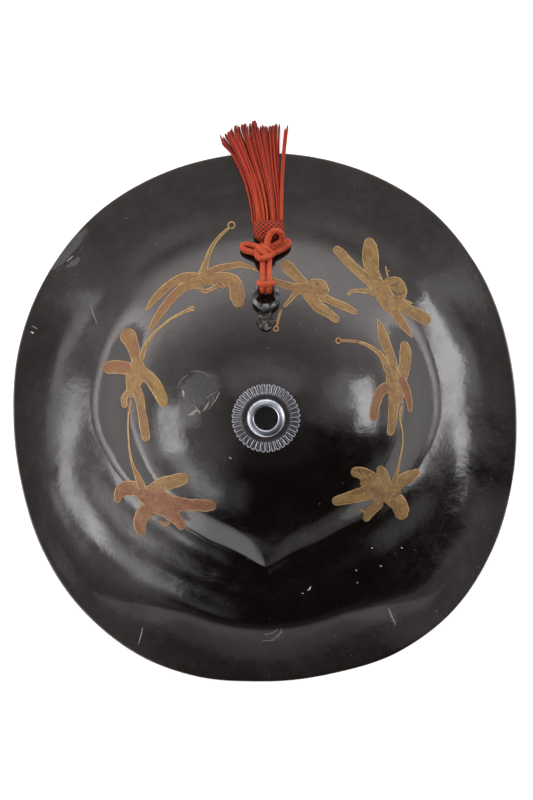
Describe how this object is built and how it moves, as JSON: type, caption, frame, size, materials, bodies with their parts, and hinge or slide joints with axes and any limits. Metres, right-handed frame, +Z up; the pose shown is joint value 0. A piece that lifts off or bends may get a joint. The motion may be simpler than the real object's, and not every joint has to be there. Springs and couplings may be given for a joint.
{
  "type": "jingasa (lacquered riding war hat) with a ring and tassel",
  "caption": "Black lacquered riding war hat: domed crown with a pointed front foot, wide brim raised in front, petalled crown plate with an open eyelet, back ring and red tassel.",
  "frame": {"origin": "middle of the hat's plan on the surface that it rests on, straight below the crown", "axes": "+X towards the wearer's left, +Y towards the back of the hat, +Z up"},
  "size_m": [0.3792, 0.4222, 0.0985],
  "materials": {
    "black_lacquer": "glossy black lacquer over a moulded body, worn and dusty, with gold ornament",
    "petal_steel": "cool grey metal with a dark patina in the hollows",
    "eyelet_steel": "polished bluish steel",
    "dark_iron": "dark worn iron",
    "red_silk": "orange-red twisted silk"
  },
  "bodies": {
    "root": {"shell": "black_lacquer", "crown_plate": "petal_steel", "crown_eyelet": "eyelet_steel", "base_plate": "dark_iron", "ring_staple": "dark_iron", "ring": "dark_iron", "hitch": "red_silk", "cord_left": "red_silk", "cord_right": "red_silk", "knot": "red_silk", "tassel_head": "red_silk", "tassel_skirt": "red_silk"}
  },
  "joints": []
}
